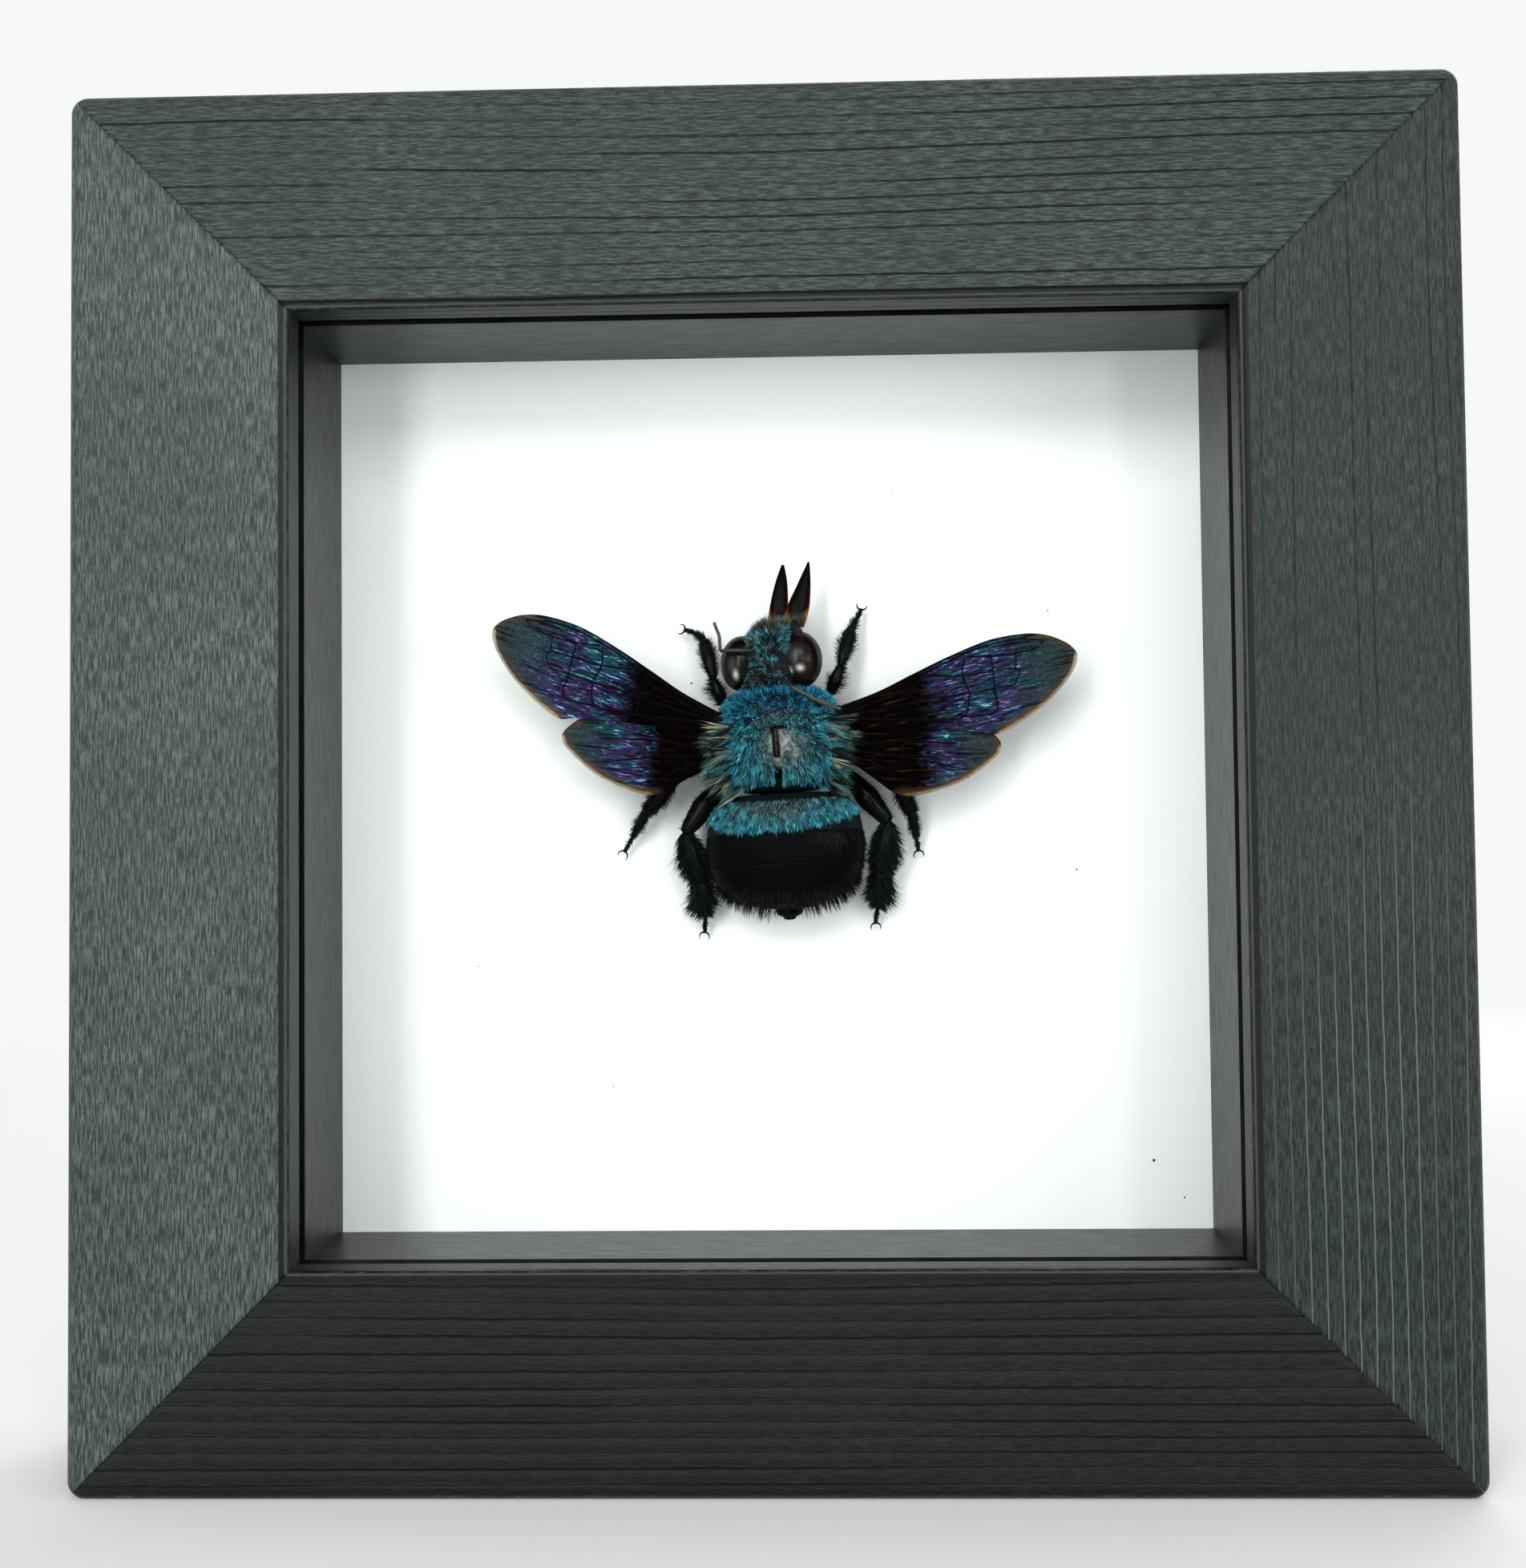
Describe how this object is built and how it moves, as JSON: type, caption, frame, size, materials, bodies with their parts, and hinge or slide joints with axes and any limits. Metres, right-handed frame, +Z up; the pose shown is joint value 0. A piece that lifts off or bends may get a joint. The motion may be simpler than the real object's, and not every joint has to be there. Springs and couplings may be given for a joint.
{
  "type": "framed insect specimen",
  "caption": "Deep black wooden shadow-box frame with a spread blue carpenter bee behind glass on a white board, held from behind by turn buttons.",
  "frame": {"origin": "middle of the base in width and depth, on the bottom rail's lower face", "axes": "+Z up, the glass faces -Y, +X to the right as seen from the front"},
  "size_m": [0.127, 0.0306, 0.128],
  "materials": {
    "black_wood": "satin black stain over visible grain",
    "spacer_wood": "matte black stain",
    "clear_glass": "clear, polished",
    "white_board": "matte white",
    "hardboard": "smooth brown hardboard",
    "plated_steel": "zinc plated",
    "clear_adhesive": "clear, slightly cloudy",
    "blue_haired_cuticle": "dense turquoise hair over black cuticle",
    "black_cuticle": "glossy black cuticle with black hair",
    "eye_cuticle": "glossy dark brown",
    "mouthpart_cuticle": "glossy dark brown, amber at the base",
    "antenna_cuticle": "matte tan brown",
    "wing_membrane": "smoky, iridescent blue and violet"
  },
  "bodies": {
    "case": {"abdomen_segment_1": "blue_haired_cuticle", "abdomen_segment_2": "black_cuticle", "abdomen_segment_3": "black_cuticle", "abdomen_segment_4": "black_cuticle", "abdomen_segment_5": "black_cuticle", "abdomen_segment_6": "black_cuticle", "adhesive_pads": "clear_adhesive", "antenna_left": "antenna_cuticle", "antenna_right": "antenna_cuticle", "backing_panel": "hardboard", "compound_eye_left": "eye_cuticle", "compound_eye_right": "eye_cuticle", "corner_v_nails": "plated_steel", "foreleg_left": "black_cuticle", "foreleg_right": "black_cuticle", "forewing_left": "wing_membrane", "forewing_right": "wing_membrane", "frame_rail_bottom": "black_wood", "frame_rail_left": "black_wood", "frame_rail_right": "black_wood", "frame_rail_top": "black_wood", "galea_left": "mouthpart_cuticle", "galea_right": "mouthpart_cuticle", "glazing_pane": "clear_glass", "hanger_nails": "plated_steel", "head": "blue_haired_cuticle", "hind_leg_left": "black_cuticle", "hind_leg_right": "black_cuticle", "hindwing_left": "wing_membrane", "hindwing_right": "wing_membrane", "middle_leg_left": "black_cuticle", "middle_leg_right": "black_cuticle", "mount_board": "white_board", "petiole": "black_cuticle", "pronotum": "blue_haired_cuticle", "propodeum": "blue_haired_cuticle", "sawtooth_hanger": "plated_steel", "spacer_bottom": "spacer_wood", "spacer_left": "spacer_wood", "spacer_right": "spacer_wood", "spacer_top": "spacer_wood", "tegula_left": "black_cuticle", "tegula_right": "black_cuticle", "thorax": "blue_haired_cuticle", "turn_button_screws": "plated_steel"},
    "left_button": {"turn_button_left": "plated_steel"},
    "right_button": {"turn_button_right": "plated_steel"}
  },
  "joints": [
    {"name": "turn_button_left_swivel", "type": "hinge", "parent": "case", "child": "left_button", "pos_m": [-0.0541, 0.01325, 0.064], "axis": [0, 1, 0], "continuous": true},
    {"name": "turn_button_right_swivel", "type": "hinge", "parent": "case", "child": "right_button", "pos_m": [0.0541, 0.01325, 0.064], "axis": [0, 1, 0], "continuous": true}
  ]
}
